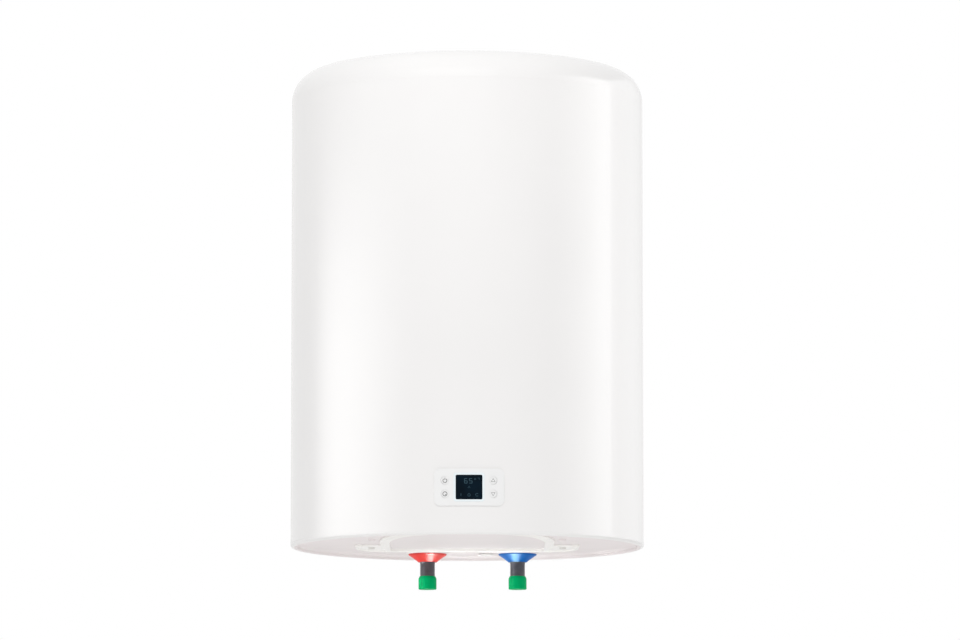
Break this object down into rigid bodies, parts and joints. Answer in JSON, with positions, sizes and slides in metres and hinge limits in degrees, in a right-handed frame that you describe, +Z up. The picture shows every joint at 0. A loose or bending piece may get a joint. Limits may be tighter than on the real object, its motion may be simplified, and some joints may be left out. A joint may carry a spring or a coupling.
{
  "type": "storage water heater",
  "caption": "Wall-hung cylindrical electric storage water heater with a service cover, control panel and pipe connections underneath.",
  "frame": {"origin": "midway between the two hanging slots, on the bracket's wall face", "axes": "+Z up, +Y into the wall, +X to the right seen from the front, so the front faces -Y"},
  "size_m": [0.386, 0.402, 0.5638],
  "materials": {
    "casing_enamel": "gloss",
    "cap_plastic": "gloss",
    "cover_plastic": "satin",
    "panel_plastic": "satin",
    "button_plastic": "satin",
    "display_dark": "gloss",
    "red_plastic": "gloss",
    "blue_plastic": "gloss",
    "green_plastic": "satin",
    "pipe_steel": "satin",
    "bracket_paint": "satin",
    "zinc_steel": "satin",
    "black_rubber": "matte",
    "grey_rubber": "matte",
    "tank_enamel": "gloss",
    "foam": "matte",
    "copper": "satin",
    "brass": "satin",
    "magnesium": "matte",
    "stainless": "satin",
    "board_green": "satin",
    "black_plastic": "matte",
    "block_plastic": "matte"
  },
  "bodies": {
    "heater": {"casing_wrap": "casing_enamel", "top_cap": "cap_plastic", "bottom_cap": "cap_plastic", "service_cover": "cover_plastic", "cover_screws": "zinc_steel", "tank_barrel": "tank_enamel", "tank_top_dome": "tank_enamel", "tank_bottom_dome": "tank_enamel", "bracket_legs": "bracket_paint", "insulation_foam": "foam", "hanging_bracket": "bracket_paint", "bracket_bolts": "zinc_steel", "bracket_nuts": "zinc_steel", "lower_wall_buffers": "grey_rubber", "hot_nipple": "pipe_steel", "cold_nipple": "pipe_steel", "hot_standpipe": "stainless", "cold_diffuser": "block_plastic", "hot_rosette": "red_plastic", "cold_rosette": "blue_plastic", "flange_collar": "tank_enamel", "flange_gasket": "black_rubber", "flange_plate": "zinc_steel", "flange_nuts": "zinc_steel", "heating_element": "copper", "element_ferrules": "brass", "anode_rod": "magnesium", "anode_nut": "zinc_steel", "sensor_well": "copper", "cutout_well": "copper", "temperature_sensor": "stainless", "thermal_cutout": "black_plastic", "earth_stud": "brass", "board_tray": "block_plastic", "power_board": "board_green", "board_relay": "black_plastic", "board_transformer": "copper", "terminal_block": "block_plastic", "terminal_screws": "zinc_steel", "panel_bezel": "panel_plastic", "display_frame": "panel_plastic", "panel_housing": "panel_plastic", "display_board": "board_green", "display_module": "black_plastic", "display_window": "display_dark", "tact_switches": "black_plastic", "cable_grommet": "black_rubber"},
    "hot_cap": {"hot_thread_cap": "green_plastic"},
    "cold_cap": {"cold_thread_cap": "green_plastic"},
    "power_key": {"power_button": "button_plastic"},
    "mode_key": {"mode_button": "button_plastic"},
    "up_key": {"up_button": "button_plastic"},
    "down_key": {"down_button": "button_plastic"},
    "reset_key": {"reset_button": "red_plastic"}
  },
  "joints": [
    {"name": "hot_cap_pull", "type": "slide", "parent": "heater", "child": "hot_cap", "axis": [0, 0, -1], "range_m": [0, 0.04]},
    {"name": "cold_cap_pull", "type": "slide", "parent": "heater", "child": "cold_cap", "axis": [0, 0, -1], "range_m": [0, 0.04]},
    {"name": "power_press", "type": "slide", "parent": "heater", "child": "power_key", "axis": [0, 1, 0], "range_m": [0, 0.0004], "stiffness_N_per_m": 600, "springref_m": -0.0005},
    {"name": "mode_press", "type": "slide", "parent": "heater", "child": "mode_key", "axis": [0, 1, 0], "range_m": [0, 0.0004], "stiffness_N_per_m": 600, "springref_m": -0.0005},
    {"name": "up_press", "type": "slide", "parent": "heater", "child": "up_key", "axis": [0, 1, 0], "range_m": [0, 0.0004], "stiffness_N_per_m": 600, "springref_m": -0.0005},
    {"name": "down_press", "type": "slide", "parent": "heater", "child": "down_key", "axis": [0, 1, 0], "range_m": [0, 0.0004], "stiffness_N_per_m": 600, "springref_m": -0.0005},
    {"name": "reset_press", "type": "slide", "parent": "heater", "child": "reset_key", "axis": [0, 0, 1], "range_m": [0, 0.002], "stiffness_N_per_m": 400, "springref_m": -0.001}
  ]
}
